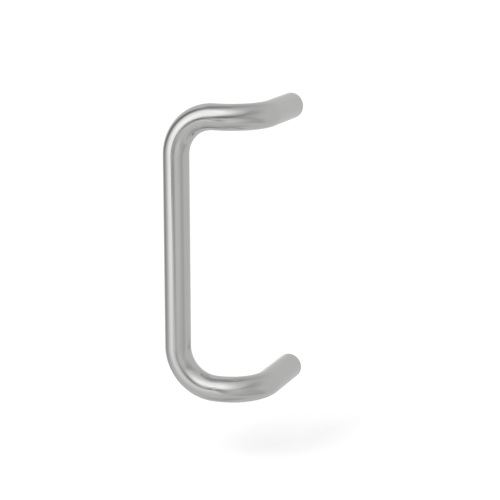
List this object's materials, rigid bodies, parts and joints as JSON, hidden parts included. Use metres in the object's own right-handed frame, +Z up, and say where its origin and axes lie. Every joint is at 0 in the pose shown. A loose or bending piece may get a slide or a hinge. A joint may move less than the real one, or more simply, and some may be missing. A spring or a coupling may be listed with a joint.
{
  "type": "offset pull handle",
  "caption": "Round satin steel bar bent into a door pull whose upright grip stands to one side of its two fixing ends, which are tapped for bolts through the door.",
  "frame": {"origin": "on the door's face, midway between the centres of the two tapped ends", "axes": "+Z up along the grip, +Y from the handle into the door, +X from the grip towards the line of the two ends"},
  "size_m": [0.079, 0.0815, 0.219],
  "materials": {
    "satin_steel": "satin stainless, with a fine grain round the bar"
  },
  "bodies": {
    "root": {"pull_handle": "satin_steel"}
  },
  "joints": []
}
